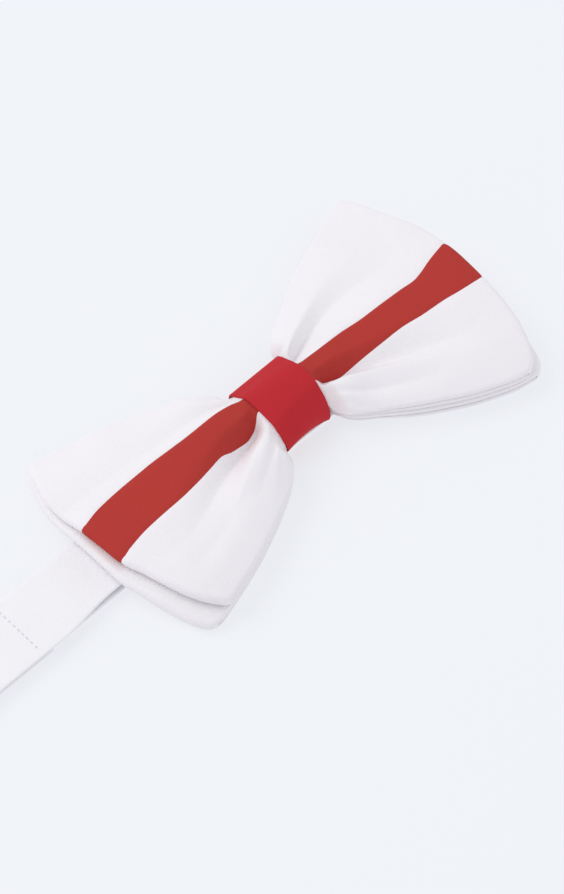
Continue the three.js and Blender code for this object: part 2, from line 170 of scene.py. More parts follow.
def weaveGroup():
    # over-and-under yarns of a plain weave, laid out on the cloth's own map in millimetres
    group = bpy.data.node_groups.new("plainWeave", "ShaderNodeTree")
    face = group.interface
    face.new_socket("Map", in_out="INPUT", socket_type="NodeSocketVector")
    face.new_socket("Yarn", in_out="INPUT", socket_type="NodeSocketFloat").default_value = 0.3
    face.new_socket("Height", in_out="OUTPUT", socket_type="NodeSocketFloat")
    face.new_socket("Slub", in_out="OUTPUT", socket_type="NodeSocketFloat")
    nodes, links = group.nodes, group.links
    start, end = nodes.new("NodeGroupInput"), nodes.new("NodeGroupOutput")

    def maths(operation, a, b=None):
        node = nodes.new("ShaderNodeMath")
        node.operation = operation
        for socket, value in zip(node.inputs, (a, b)):
            if hasattr(value, "node"):
                links.new(value, socket)
            elif value is not None:
                socket.default_value = value
        return node.outputs[0]

    split = nodes.new("ShaderNodeSeparateXYZ")
    links.new(start.outputs["Map"], split.inputs[0])
    turn = maths("DIVIDE", math.pi, start.outputs["Yarn"])
    warp = maths("SINE", maths("MULTIPLY", split.outputs["X"], turn))
    weft = maths("SINE", maths("MULTIPLY", split.outputs["Y"], turn))
    over = maths("MULTIPLY", warp, weft)
    noise = nodes.new("ShaderNodeTexNoise")
    noise.inputs["Scale"].default_value = 0.9
    noise.inputs["Detail"].default_value = 4
    stretched = nodes.new("ShaderNodeMapping")
    stretched.inputs["Scale"].default_value = (3, 0.35, 1)
    links.new(start.outputs["Map"], stretched.inputs["Vector"])
    links.new(stretched.outputs[0], noise.inputs["Vector"])
    links.new(maths("ADD", maths("MULTIPLY", over, 0.5), noise.outputs["Fac"]), end.inputs["Height"])
    links.new(noise.outputs["Fac"], end.inputs["Slub"])
    return group


plainWeave = weaveGroup()


def clothMaterial(name, colour, yarn=0.3, depth=0.05, tone=0.06, roughness=0.85, sheen=0.15, gloss=0.25):
    material = bpy.data.materials.new(name)
    material.use_nodes = True
    nodes, links = material.node_tree.nodes, material.node_tree.links
    shader = nodes["Principled BSDF"]
    shader.inputs["Sheen Weight"].default_value = sheen
    shader.inputs["Sheen Roughness"].default_value = 0.6
    shader.inputs["Specular IOR Level"].default_value = gloss
    place = nodes.new("ShaderNodeTexCoord")
    weave = nodes.new("ShaderNodeGroup")
    weave.node_tree = plainWeave
    weave.inputs["Yarn"].default_value = yarn
    links.new(place.outputs["UV"], weave.inputs["Map"])
    patches = nodes.new("ShaderNodeTexNoise")
    patches.inputs["Scale"].default_value = 60
    patches.inputs["Detail"].default_value = 3
    links.new(place.outputs["Object"], patches.inputs["Vector"])
    shades = nodes.new("ShaderNodeMix")
    shades.data_type = "RGBA"
    shades.inputs[6].default_value = [c * (1 - tone) for c in colour[:3]] + [1]
    shades.inputs[7].default_value = [min(c * (1 + tone * 0.5), 1) for c in colour[:3]] + [1]
    blend = nodes.new("ShaderNodeMath")
    blend.operation = "MULTIPLY_ADD"
    blend.inputs[1].default_value = 0.6
    links.new(patches.outputs["Fac"], blend.inputs[0])
    shadePart = nodes.new("ShaderNodeMath")
    shadePart.operation = "MULTIPLY"
    shadePart.inputs[1].default_value = 0.4
    links.new(weave.outputs["Slub"], shadePart.inputs[0])
    links.new(shadePart.outputs[0], blend.inputs[2])
    links.new(blend.outputs[0], shades.inputs[0])
    links.new(shades.outputs[2], shader.inputs["Base Color"])
    rough = nodes.new("ShaderNodeMapRange")
    rough.inputs["To Min"].default_value = roughness - 0.07
    rough.inputs["To Max"].default_value = roughness + 0.07
    links.new(weave.outputs["Slub"], rough.inputs["Value"])
    links.new(rough.outputs[0], shader.inputs["Roughness"])
    bump = nodes.new("ShaderNodeBump")
    bump.inputs["Distance"].default_value = depth * mm
    bump.inputs["Strength"].default_value = 0.6
    links.new(weave.outputs["Height"], bump.inputs["Height"])
    links.new(bump.outputs[0], shader.inputs["Normal"])
    return material


def metalMaterial(name, colour):
    material = bpy.data.materials.new(name)
    material.use_nodes = True
    nodes, links = material.node_tree.nodes, material.node_tree.links
    shader = nodes["Principled BSDF"]
    shader.inputs["Metallic"].default_value = 1
    shader.inputs["Base Color"].default_value = colour
    place = nodes.new("ShaderNodeTexCoord")
    stretch = nodes.new("ShaderNodeMapping")
    stretch.inputs["Scale"].default_value = (300, 2500, 2500)
    brushed = nodes.new("ShaderNodeTexNoise")
    brushed.inputs["Scale"].default_value = 1
    brushed.inputs["Detail"].default_value = 5
    links.new(place.outputs["Object"], stretch.inputs["Vector"])
    links.new(stretch.outputs[0], brushed.inputs["Vector"])
    rough = nodes.new("ShaderNodeMapRange")
    rough.inputs["To Min"].default_value = 0.16
    rough.inputs["To Max"].default_value = 0.34
    links.new(brushed.outputs["Fac"], rough.inputs["Value"])
    links.new(rough.outputs[0], shader.inputs["Roughness"])
    bump = nodes.new("ShaderNodeBump")
    bump.inputs["Distance"].default_value = 0.01 * mm
    bump.inputs["Strength"].default_value = 0.3
    links.new(brushed.outputs["Fac"], bump.inputs["Height"])
    links.new(bump.outputs[0], shader.inputs["Normal"])
    return material


whiteCloth = clothMaterial("whitePoplin", linear(243, 239, 242))
facingCloth = clothMaterial("facingPoplin", linear(236, 233, 236))
# the neckband's white is painted a little lighter than the bow's white, painted light that offsets the shade on
# the band
lightenedStrapCloth = clothMaterial("bandPoplinLightened", linear(244, 242, 245))
stripeCloth = clothMaterial("brickPoplin", linear(182, 58, 52), tone=0.12, sheen=0.02, gloss=0.12)
knotCloth = clothMaterial("crimsonPoplin", linear(192, 42, 50), tone=0.12, sheen=0.02, gloss=0.14)
liningCloth = clothMaterial("canvasLining", linear(225, 220, 208), yarn=0.6, depth=0.12)
whiteThread = clothMaterial("whiteThread", linear(226, 224, 230), yarn=0.12, depth=0.03)
knotThread = clothMaterial("crimsonThread", linear(150, 32, 40), yarn=0.12, depth=0.03)
nickel = metalMaterial("satinNickel", (0.78, 0.76, 0.73, 1))
print("materials made")

cameraPlan = {"azimuth": -44.5, "elevation": 56.5, "distance": 0.665, "lens": 105, "aim": (-0.0056, -0.0053, 0)}


def addCamera(plan):
    data = bpy.data.cameras.new("camera")
    data.lens = plan["lens"]
    data.sensor_width = 36
    data.sensor_fit = "AUTO"
    data.clip_start, data.clip_end = 0.01, 20
    camera = bpy.data.objects.new("camera", data)
    bpy.context.scene.collection.objects.link(camera)
    turn, rise = math.radians(plan["azimuth"]), math.radians(plan["elevation"])
    back = Vector((math.sin(turn) * math.cos(rise), -math.cos(turn) * math.cos(rise), math.sin(rise)))
    camera.location = Vector(plan["aim"]) + back * plan["distance"]
    camera.rotation_euler = (-back).to_track_quat("-Z", "Y").to_euler()
    bpy.context.scene.camera = camera


roomPlan = {
    "key": {"place": (-0.42, 0.75, 0.9), "size": 0.8, "power": 4.4, "colour": (1, 0.985, 0.97)},
    "fill": {"place": (0.5, -0.8, 1.0), "size": 1.5, "power": 1.5, "colour": (0.97, 0.98, 1)},
    "air": {"colour": (0.95, 0.97, 1, 1), "strength": 0.8},
    "floor": {
        "size": 8,
        "top": -0.0002,
        "tones": (linear(136, 137, 139), linear(138, 139, 141)),
        "glow": linear(242, 244, 249),  # a glow of its own keeps the shadows on it faint
        "glowStrength": 0.71,
    },
}


def addLight(name):
    plan = roomPlan[name]
    data = bpy.data.lights.new(name, "AREA")
    data.shape = "DISK"
    data.size = plan["size"]
    data.energy = plan["power"]
    data.color = plan["colour"]
    light = bpy.data.objects.new(name, data)
    light.location = plan["place"]
    light.rotation_euler = (-Vector(plan["place"])).to_track_quat("-Z", "Y").to_euler()
    bpy.context.scene.collection.objects.link(light)


def addFloor():
    plan = roomPlan["floor"]
    deselectAll()
    bpy.ops.mesh.primitive_plane_add(size=plan["size"], location=(0, 0, plan["top"]))
    floor = bpy.context.object
    floor.name = "floor"
    material = bpy.data.materials.new("palePaper")
    material.use_nodes = True
    nodes, links = material.node_tree.nodes, material.node_tree.links
    shader = nodes["Principled BSDF"]
    shader.inputs["Roughness"].default_value = 0.95
    shader.inputs["Specular IOR Level"].default_value = 0.1
    shader.inputs["Emission Color"].default_value = plan["glow"]
    shader.inputs["Emission Strength"].default_value = plan["glowStrength"]
    grain = nodes.new("ShaderNodeTexNoise")
    grain.inputs["Scale"].default_value = 6
    tint = nodes.new("ShaderNodeMix")
    tint.data_type = "RGBA"
    tint.inputs[6].default_value, tint.inputs[7].default_value = plan["tones"]
    place = nodes.new("ShaderNodeTexCoord")
    links.new(place.outputs["Object"], grain.inputs["Vector"])
    links.new(grain.outputs["Fac"], tint.inputs[0])
    links.new(tint.outputs[2], shader.inputs["Base Color"])
    floor.data.materials.append(material)


def addWorld():
    world = bpy.data.worlds.new("paleRoom")
    world.use_nodes = True
    background = world.node_tree.nodes["Background"]
    background.inputs["Color"].default_value = roomPlan["air"]["colour"]
    background.inputs["Strength"].default_value = roomPlan["air"]["strength"]
    bpy.context.scene.world = world
    bpy.context.scene.view_settings.view_transform = "Standard"


addCamera(cameraPlan)
addLight("key")
addLight("fill")
addFloor()
addWorld()
print("camera, lights and floor placed")

# all the cloth follows the shape below, in millimetres
knotPlan = {
    "half": 8.5,  # half the wrap's width along X
    "thick": 0.7,
    "nearEdge": [  # the wrap's outline at each edge, from the middle of its back round by +Y
        (0, 1.2), (6.5, 1.2), (9.8, 2.0), (11.1, 4.6), (11.3, 7.4), (10.7, 9.7), (8.2, 11.8), (4.8, 14.2),
        (-0.2, 13.9), (-4.3, 13.2), (-5.4, 12.7), (-8.0, 10.6), (-10.1, 8.0), (-10.2, 5.8), (-8.3, 2.8),
        (-6, 1.2)],
    "farEdge": [
        (0, 1.2), (6.5, 1.2), (9.8, 2.0), (11.1, 5.2), (11.2, 8.2), (10.3, 10.6), (7.2, 12.6),
        (3.2, 14.2), (-0.6, 14.1), (-3.2, 13.3), (-4.1, 12.5), (-6.7, 9.4), (-8.6, 6.4), (-9.4, 3.9),
        (-8.6, 1.9), (-6, 1.2)],
}


def ringThrough(points, count):
    # a closed smooth line, evenly spaced
    corners = np.array(points, float)
    around = np.vstack([corners[-2:], corners, corners[:3]])
    steps = []
    for i in range(1, len(corners) + 1):
        a, b, c, d = around[i:i + 4]
        t = np.linspace(0, 1, 24, endpoint=False)[:, None]
        steps.append(0.5 * (2 * b + (c - a) * t + (2 * a - 5 * b + 4 * c - d) * t**2
                            + (3 * b - a - 3 * c + d) * t**3))
    line = np.vstack(steps)
    line = np.vstack([line, line[:1]])
    reach = np.concatenate([[0], np.cumsum(np.linalg.norm(np.diff(line, axis=0), axis=1))])
    at = np.linspace(0, reach[-1], count, endpoint=False)
    return np.stack([np.interp(at, reach, line[:, k]) for k in range(2)], 1)


def insetRing(ring, depth):
    ahead, behind = np.roll(ring, -1, 0), np.roll(ring, 1, 0)
    way = ahead - behind
    way /= np.linalg.norm(way, axis=1)[:, None]
    return ring + np.asarray(depth)[..., None] * np.stack([-way[:, 1], way[:, 0]], 1)


nearRing, farRing = (ringThrough(knotPlan[edge], 240) for edge in ("nearEdge", "farEdge"))


def knotRings(x):
    # the wrap's outline at one place across it
    share = np.clip(0.5 + 0.5 * x / knotPlan["half"], 0, 1)
    ring = nearRing + share * (farRing - nearRing)
    low = (1 - smooth(2, 9.5, ring[:, 1])) * (1 - (x / knotPlan["half"]) ** 2)
    return ring + np.column_stack([low * np.where(ring[:, 0] < 0, 1.1, 0.2), 0 * low])


def ringTop(ring, y):
    front = ring[ring[:, 1] > 5.5]
    front = front[np.argsort(front[:, 0])]
    return np.interp(y, front[:, 0], front[:, 1])


def knotHeight(x, y):
    share = np.clip(0.5 + 0.5 * x / knotPlan["half"], 0, 1)
    return ringTop(nearRing, y) * (1 - share) + ringTop(farRing, y) * share


nearWing = {
    "side": -1,
    "upper": curve([(0, 8.4), (7.5, 8.6), (8.6, 9.8), (10, 13), (12, 15.8), (17.5, 20.4), (25, 23.2),
                    (33, 26), (41, 28.7), (49, 30.7), (57, 32.6)]),
    "lower": curve([(0, 7.4), (7.5, 8.4), (8.6, 9.8), (9.8, 13.2), (11.6, 15.6), (14.5, 17.8), (20.5, 21),
                    (29, 24.7), (36, 27.4), (43, 29.7), (52, 32.2)]),
    "end": curve([(-33, 49), (-29, 52.5), (-25, 55.3), (-21, 57.1), (-13, 59.6), (-6, 61.7), (1.5, 62.1),
                  (7.4, 62.5), (14, 62.9), (20, 62.6), (27, 60.4), (31, 58.8), (33, 57.4)]),
    "backEnd": curve([(-33, 53), (-31, 56.6), (-24, 59.9), (-16, 62.3), (-7, 64), (4, 63.9), (12, 64.2),
                      (19, 63.6), (28, 60.8), (31, 59.6), (33, 58.2)]),
    "stripeUpper": curve([(0, 4.2), (8.4, 5.9), (12.8, 7.2), (17.6, 7.7), (24.1, 7.9), (31.6, 8.3),
                          (39, 8.8), (47, 8.8), (55, 8.4), (62.8, 6.8)]),
    "stripeLower": curve([(0, -0.5), (8.3, 0.4), (10.6, -0.8), (14.9, -1.9), (19.5, -1.9), (22.6, -1.6),
                          (27.3, -2.4), (33.6, -3.5), (39.4, -4.1), (50.7, -4.4), (57.4, -5.4),
                          (62.4, -7.1)]),
    "crest": curve([(8.5, 13.2), (14, 13.4), (24, 12.8), (40, 11.8), (64, 10.6)]),
    "rim": curve([(8.5, 7.6), (14, 6.8), (24, 6.8), (64, 6.6)]),
    "folds": [  # path, depth, how far each side of a fold reaches, and how sharp it is
        {  # the deep pleat beside the stripe
            "path": curve([(8, -0.2), (10, -1.2), (13, -2.4), (17, -3.2), (22, -4.4), (28, -6.6),
                           (35, -9.5), (44, -13)]),
            "depth": curve([(8.5, 3.2), (11, 5.4), (16, 6.3), (20, 6.0), (26, 4.4), (36, 2.1), (48, 1.0),
                            (60, 0.1)]),
            "toLower": curve([(8, 2.0), (14, 3.4), (22, 5.2), (34, 8), (50, 11)]),
            "toUpper": curve([(8, 3.0), (14, 4.2), (22, 5.6), (34, 7.6), (50, 9)]),
            "power": 1.1,
        },
        {  # a soft dip along its other side
            "path": curve([(8, 7.8), (12, 9.2), (18, 10.6), (26, 11.4), (36, 12.4), (50, 14)]),
            "depth": curve([(8.5, 1.7), (13, 2.2), (20, 1.7), (34, 1.1), (48, 1.0), (62, 1.3)]),
            "toLower": curve([(8, 2.4), (20, 4.0), (50, 7)]),
            "toUpper": curve([(8, 2.6), (20, 7), (50, 14)]),
            "power": 1.6,
        },
        {  # small gathers on the lower bulge
            "path": curve([(8, -7), (12, -9.6), (20, -13.6), (30, -18)]),
            "depth": curve([(8.5, 0.9), (12, 0.9), (20, 0.5), (30, 0)]),
            "toLower": curve([(8, 2), (20, 4)]),
            "toUpper": curve([(8, 2), (20, 4)]),
            "power": 1.5,
        },
        {
            "path": curve([(24, -13), (36, -17), (50, -20)]),
            "depth": curve([(22, 0), (30, 0.45), (42, 0.5), (54, 0)]),
            "toLower": curve([(24, 3), (50, 6)]),
            "toUpper": curve([(24, 3), (50, 6)]),
            "power": 1.6,
        },
    ],
    "swells": [
        {"at": (15, -10.5), "size": (7, 5), "height": 1.7},
        {"at": (50, -17), "size": (12, 8), "height": 0.6},
        {"at": (20, 16), "size": (9, 5), "height": 0.7},
    ],
}
farWing = {
    "side": 1,
    "upper": curve([(0, 8.4), (7.5, 8.6), (8.6, 9.8), (10, 14), (13, 18), (20, 22), (33, 29), (43, 32.8),
                    (53, 36.4), (59, 37.8)]),
    "lower": curve([(0, 7.4), (7.5, 6.8), (8.6, 8), (9.6, 11.4), (11, 13.8), (17.7, 18.2), (24, 22.4),
                    (31, 26.8), (38, 30.9), (45, 34), (50, 35.8), (56, 36.9)]),
    "end": curve([(-37, 54), (-34.5, 57), (-30, 59.6), (-24, 61.9), (-7, 64.6), (3, 65.4), (12, 65),
                  (22, 62.9), (34, 60.3), (38, 59)]),
    "backEnd": curve([(-37, 57), (-34.5, 59.8), (-30, 61.5), (-15, 64.8), (0, 66), (12, 65.8), (22, 63.6),
                      (34, 60.9), (38, 59.6)]),
    "stripeUpper": curve([(0, 4.2), (9.4, 4.1), (15.3, 3.8), (23.6, 3.7), (31.4, 3.1), (39.7, 2.9),
                          (45.3, 2.7), (49.9, 2.3), (52.5, 2.7), (58.2, 4.2), (64.7, 5.4)]),
    "stripeLower": curve([(0, -0.5), (9.1, -2.4), (13.5, -3.6), (16.2, -4.4), (23.2, -5.0), (31, -5.7),
                          (37.6, -6.1), (43.8, -7), (50.5, -7.5), (56.7, -8.5), (63.7, -9.4)]),
    "crest": curve([(8.5, 13.1), (16, 12.7), (28, 12.2), (44, 11.8), (66, 12)]),
    "rim": curve([(8.5, 7.4), (14, 6.8), (24, 6.7), (64, 6.7)]),
    "folds": [
        {  # beside the stripe on the upper side, fading toward the end
            "path": curve([(8, 5.8), (11, 7.2), (16, 9.2), (22, 11.2), (28, 12.8), (34, 13.2), (42, 12.6),
                           (50, 12)]),
            "depth": curve([(8.5, 2.2), (11, 3.8), (16, 3.7), (24, 3.3), (34, 2.4), (44, 1.2), (56, 0)]),
            "toLower": curve([(8, 2.2), (14, 4.4), (24, 6.6), (48, 8)]),
            "toUpper": curve([(8, 2.0), (14, 2.4), (24, 3.8), (48, 9)]),
            "power": 1.1,
        },
        {  # the sharp pleat below the stripe
            "path": curve([(8, -2.9), (11, -3.4), (15.5, -4.3), (20, -5.8), (27, -8.6), (36, -12.6),
                           (44, -16), (50, -18)]),
            "depth": curve([(8.5, 2.4), (12, 4.5), (20, 4.2), (30, 3.2), (40, 2.0), (50, 0.8), (60, 0)]),
            "toLower": curve([(8, 1.6), (14, 2.6), (24, 3.4), (50, 7)]),
            "toUpper": curve([(8, 2.4), (14, 3.2), (24, 4.5), (50, 9)]),
            "power": 1.0,
        },
        {  # a soft dip on the lower panel
            "path": curve([(8, -7), (14, -10.5), (24, -16), (34, -21)]),
            "depth": curve([(8.5, 0.2), (14, 0.7), (22, 1.2), (30, 0.8), (40, 0)]),
            "toLower": curve([(8, 2.2), (24, 5)]),
            "toUpper": curve([(8, 2.2), (24, 7)]),
            "power": 1.7,
        },
    ],
    "swells": [
        {"at": (13, -9.5), "size": (6, 4.5), "height": 1.2},
        {"at": (14, 13), "size": (6, 4), "height": 1.1},
        {"at": (40, -24), "size": (10, 6), "height": 0.4},
    ],
}
bowPlan = {
    "tier": 3.3,  # one bow, from its front face to its back
    "tierGap": 0.2,
    "wall": 1.4,  # one layer of a bow, with its facing inside
    "cloth": 0.26,
    "lining": 0.14,
    "liningDepth": 0.82,
    "strapHalf": 9.5,
    "strapTop": 3.1,  # the middle of the bow lies on the neckband
}


def frontHeight(wing, reach, y):
    # the outer face of the front bow
    rim, crest = wing["rim"](reach), wing["crest"](reach)
    middle = 0.5 * (wing["stripeUpper"](reach) + wing["stripeLower"](reach))
    halfWidth = np.where(y > middle, wing["upper"](reach) - middle, wing["lower"](reach) + middle)
    across = np.clip(np.abs(y - middle) / halfWidth, 0, 1)
    dome = rim + (crest - rim) * (1 - across ** 2.3)
    for fold in wing["folds"]:
        offset = y - fold["path"](reach)
        width = np.where(offset > 0, fold["toUpper"](reach), fold["toLower"](reach))
        away = np.sqrt((offset / width) ** 2 + 0.002) - 0.045
        slope = np.log1p(np.exp(22 * (1 - away))) / 22
        dome = dome - fold["depth"](reach) * slope ** fold["power"]
    for swell in wing["swells"]:
        (centreX, centreY), (sizeX, sizeY) = swell["at"], swell["size"]
        dome = dome + swell["height"] * np.exp(-((reach - centreX) / sizeX) ** 2 - ((y - centreY) / sizeY) ** 2)
    dome = dome + 0.14 * ripple(reach, y, 4 + wing["side"], 16) * smooth(10, 22, reach)
    out = reach - knotPlan["half"]
    gathers = np.cos(2 * math.pi * (y - middle) / (2.6 + 0.24 * out) + 1.3 * wing["side"])
    dome = dome + 0.26 * gathers * np.exp(-np.maximum(out, 0) / 6) * smooth(0, 0.4, across)
    waist = knotHeight(wing["side"] * reach, y) - 2.0 + 1.2 * smooth(5.5, knotPlan["half"] - 0.4, reach)
    entered = smooth(knotPlan["half"] - 0.6, knotPlan["half"] + 3, reach)
    return waist + (dome - waist) * entered


def restHeight(reach, y):
    # the underside of the back bow: over the neckband in the middle, on the table at the corners
    clear = bowPlan["strapTop"] + 0.3 + 0.75 * (1 - smooth(knotPlan["half"], 30, reach))
    return clear * (1 - smooth(bowPlan["strapHalf"] + 1.5, bowPlan["strapHalf"] + 17, np.abs(y)))


def tierFaces(wing, reach, y, tier):
    # heights of the outer faces of one bow, front and back
    front, rest = frontHeight(wing, reach, y), restHeight(reach, y)
    room = np.maximum(front - rest, 2)
    thick = np.minimum(bowPlan["tier"], 0.47 * room)
    if tier == "front":
        return front, front - thick
    return front - thick - bowPlan["tierGap"] - 0.06 * room, rest


nearStations = np.concatenate([np.linspace(0, 7, 6), np.linspace(7.5, 14, 18)])


def wingLine(wing, placeOf, endY, tier, depth):
    # one line of points from the waist over the front, round the end fold and back to the waist
    reachEnd = wing["end" if tier == "front" else "backEnd"](endY)
    topEnd, bottomEnd = tierFaces(wing, reachEnd, endY, tier)
    radius = 0.5 * (topEnd - bottomEnd)
    centre = reachEnd - radius
    farOut = nearStations[-1] + np.linspace(0, 1, 46)[1:, None] * (centre - nearStations[-1])[None, :]
    out = np.vstack([np.repeat(nearStations[:, None], len(centre), 1), farOut])
    yOut = placeOf(out)
    top, bottom = tierFaces(wing, out, yOut, tier)
    wall = np.minimum(depth, 0.42 * (top - bottom))
    topLine = np.stack([wing["side"] * out, yOut, top - wall], 2)
    bottomLine = np.stack([wing["side"] * out, yOut, bottom + wall], 2)[::-1]
    angles = np.linspace(math.pi / 2, -math.pi / 2, 13)[1:-1]
    top, bottom = topLine[-1, :, 2], bottomLine[0, :, 2]
    foldRadius = 0.5 * (top - bottom)
    turn = np.stack([
        wing["side"] * (centre[None, :] + foldRadius[None, :] * np.cos(angles)[:, None]),
        np.repeat(yOut[-1:], len(angles), 0),
        0.5 * (top + bottom)[None, :] + foldRadius[None, :] * np.sin(angles)[:, None]], 2)
    return np.concatenate([topLine, turn, bottomLine])


def loopGrid(shares, place, tier, depths):
    # both wings' lines joined into one closed loop; shares run across the piece
    halves = []
    for wing in (farWing, nearWing):
        def placeOf(reach, wing=wing):
            return place(wing, reach, shares)
        endY = placeOf(np.full((1, len(shares)), 62.0))[0]
        halves.append(wingLine(wing, placeOf, endY, tier, depths))
    far, near = halves
    return np.concatenate([far, near[::-1][1:]])


def panelPlace(side):
    def place(wing, reach, shares):
        edge = wing["upper"](reach) if side > 0 else -wing["lower"](reach)
        seam = wing["stripeUpper"](reach) if side > 0 else wing["stripeLower"](reach)
        return seam + (edge - seam) * shares
    return place


def stripePlace(wing, reach, shares):
    low, high = wing["stripeLower"](reach), wing["stripeUpper"](reach)
    return low + (high - low) * shares


def fullPlace(wing, reach, shares):
    low, high = -wing["lower"](reach), wing["upper"](reach)
    return 0.5 * (low + high) + 0.5 * (high - low) * shares


def seamDip(shares, width, ends):
    # how far cloth sinks where it is sewn, for shares in millimetres from the seam
    return sum(0.22 * np.exp(-((shares - end) * width / 0.5) ** 2) for end in ends)


def wallSection(edgeShare, seamShare, innerShare, wide):
    # shares across and depths into the wall, from the inner seam round the rolled edge to the stripe's seam
    roll = 0.5 * bowPlan["wall"]
    inner = np.linspace(innerShare, edgeShare, 8)[:-1]
    angles = np.linspace(math.pi, 0, 9)
    rolled = edgeShare + roll * np.sin(angles) / wide
    outer = edgeShare + (seamShare - edgeShare) * np.linspace(0, 1, 34)[1:]
    shares = np.concatenate([inner, rolled, outer])
    depths = np.concatenate([np.full(7, bowPlan["wall"]), roll * (1 - np.cos(angles)), np.zeros(33)])
    return shares, depths


def finishCloth(piece, thick):
    applyModifier(piece, "SOLIDIFY", thickness=thick * mm, offset=-1, use_rim=True)
    smoothShade(piece, 50)


def buildFrontBow():
    pieces = {}
    for side, name in ((-1, "frontBowBottomPanel"), (1, "frontBowTopPanel")):
        shares, depths = wallSection(1 - 0.5 * bowPlan["wall"] / 22, 0, 0.55, 22)
        depths = depths + seamDip(shares, 22, (0,)) * (depths < 0.01)
        points = loopGrid(shares, panelPlace(side), "front", depths)
        pieces[name] = clothGrid(name, points, flip=side < 0, closed=True)
    shares = np.linspace(0, 1, 17)
    points = loopGrid(shares, stripePlace, "front", seamDip(shares, 12, (0, 1)))
    pieces["frontBowStripe"] = clothGrid("frontBowStripe", points, flip=True, closed=True)
    shares = np.linspace(-0.62, 0.62, 21)
    points = loopGrid(shares, fullPlace, "front", np.full(21, bowPlan["wall"]))
    pieces["frontBowFacing"] = clothGrid("frontBowFacing", points, closed=True)
    shares = np.linspace(-0.94, 0.94, 57)
    points = loopGrid(shares, fullPlace, "front", np.full(57, bowPlan["liningDepth"]))
    pieces["frontBowInterlining"] = clothGrid("frontBowInterlining", points, flip=True, closed=True)
    return pieces


def buildBackBow():
    pieces = {}
    low, depthLow = wallSection(1 - 0.5 * bowPlan["wall"] / 32, 0, 0.6, 32)
    shares = np.concatenate([-low, low[::-1][1:]])
    depths = np.concatenate([depthLow, depthLow[::-1][1:]])
    points = loopGrid(shares, fullPlace, "back", depths)
    pieces["backBowShell"] = clothGrid("backBowShell", points, flip=True, closed=True)
    shares = np.linspace(-0.66, 0.66, 21)
    points = loopGrid(shares, fullPlace, "back", np.full(21, bowPlan["wall"]))
    pieces["backBowFacing"] = clothGrid("backBowFacing", points, closed=True)
    shares = np.linspace(-0.94, 0.94, 57)
    points = loopGrid(shares, fullPlace, "back", np.full(57, bowPlan["liningDepth"]))
    pieces["backBowInterlining"] = clothGrid("backBowInterlining", points, flip=True, closed=True)
    return pieces


bowDetails = {  # piece: node it stands for, material, slot, cut size in metres
    "frontBowTopPanel": ("front_bow_top_panel", whiteCloth, "white_cloth", (0.0385, 0.262)),
    "frontBowStripe": ("front_bow_stripe", stripeCloth, "stripe_cloth", (0.014, 0.262)),
    "frontBowBottomPanel": ("front_bow_bottom_panel", whiteCloth, "white_cloth", (0.0385, 0.262)),
    "frontBowFacing": ("front_bow_facing", facingCloth, "facing_cloth", (0.038, 0.256)),
    "frontBowInterlining": ("front_bow_interlining", liningCloth, "interlining", (0.058, 0.256)),
    "backBowShell": ("back_bow_shell", whiteCloth, "white_cloth", (0.09, 0.27)),
    "backBowFacing": ("back_bow_facing", facingCloth, "facing_cloth", (0.04, 0.262)),
    "backBowInterlining": ("back_bow_interlining", liningCloth, "interlining", (0.058, 0.262)),
}
for name, piece in {**buildFrontBow(), **buildBackBow()}.items():
    node, material, slotName, cut = bowDetails[name]
    finishCloth(piece, bowPlan["lining" if "Interlining" in name else "cloth"])
    give(piece, material, [node], "bow")
print("bows folded")


def ringBand(name, xs, depths, ends, closeEnds=False):
    # a band round the knot, given by its places across and its depths into it; ends are left off its ring
    loops = []
    for x, depth in zip(xs, depths):
        soft = 0.14 * ripple(nearRing[:, 0] + 0.6 * x, nearRing[:, 1] + 0.3 * x, 21, 9)
        ring = insetRing(knotRings(x), depth - soft)[ends:len(nearRing) - ends]
        low = 1 - smooth(2, 9.5, ring[:, 1])
        loops.append(np.column_stack([x * (1 - 0.07 * low * (ring[:, 0] < 9)), ring]))
    piece = clothGrid(name, np.stack(loops, 1), closed=True)
    if closeEnds:
        closeHoles(piece)
    return piece


def buildWrap():
    # double cloth with turned edges, its ends meeting at the back
    half, thick = knotPlan["half"], knotPlan["thick"]
    roll = thick / 2
    flat = np.linspace(-half + roll, half - roll, 29)
    angles = np.linspace(math.pi / 2, -math.pi / 2, 9)[1:-1]
    xs = np.concatenate([flat, half - roll + roll * np.cos(angles), flat[::-1],
                         -half + roll - roll * np.cos(angles), flat[:1]])
    depths = np.concatenate([np.zeros(29), roll - roll * np.sin(angles), np.full(29, thick),
                             roll + roll * np.sin(angles), [0]])
    piece = ringBand("knotWrap", xs, depths, 2, True)
    smoothShade(piece, 60)
    return piece


def buildKnotLining():
    xs = np.linspace(0.8 - knotPlan["half"], knotPlan["half"] - 0.8, 9)
    rings = [insetRing(knotRings(x), knotPlan["thick"] + 0.25)[44:-44] for x in xs]
    points = np.stack([np.column_stack([np.full(len(ring), x), ring]) for x, ring in zip(xs, rings)], 1)
    points[..., 2] = np.maximum(points[..., 2], bowPlan["strapTop"] + 0.4)
    piece = clothGrid("knotLining", points)
    finishCloth(piece, 0.3)
    return piece


def threadPiece(name, points, radius, resolution=2):
    # points in millimetres along the thread
    data = bpy.data.curves.new(name, "CURVE")
    data.dimensions = "3D"
    data.bevel_depth = radius * mm
    data.bevel_resolution = resolution
    data.use_fill_caps = True
    line = data.splines.new("POLY")
    line.points.add(len(points) - 1)
    line.points.foreach_set("co", np.column_stack([np.array(points) * mm, np.ones(len(points))]).ravel())
    piece = bpy.data.objects.new(name, data)
    bpy.context.scene.collection.objects.link(piece)
    makeActive(piece)
    bpy.ops.object.convert(target="MESH")
    return bpy.context.object


def buildWaistThread():
    course = insetRing(knotRings(0), 1.55)
    course[:, 1] = np.maximum(course[:, 1], bowPlan["strapTop"] + 0.55)
    turns = np.vstack([course[60:], course, course, course[:60]])
    xs = np.linspace(-0.9, 0.9, len(turns))
    return threadPiece("waistThread", np.column_stack([xs, turns]), 0.25)


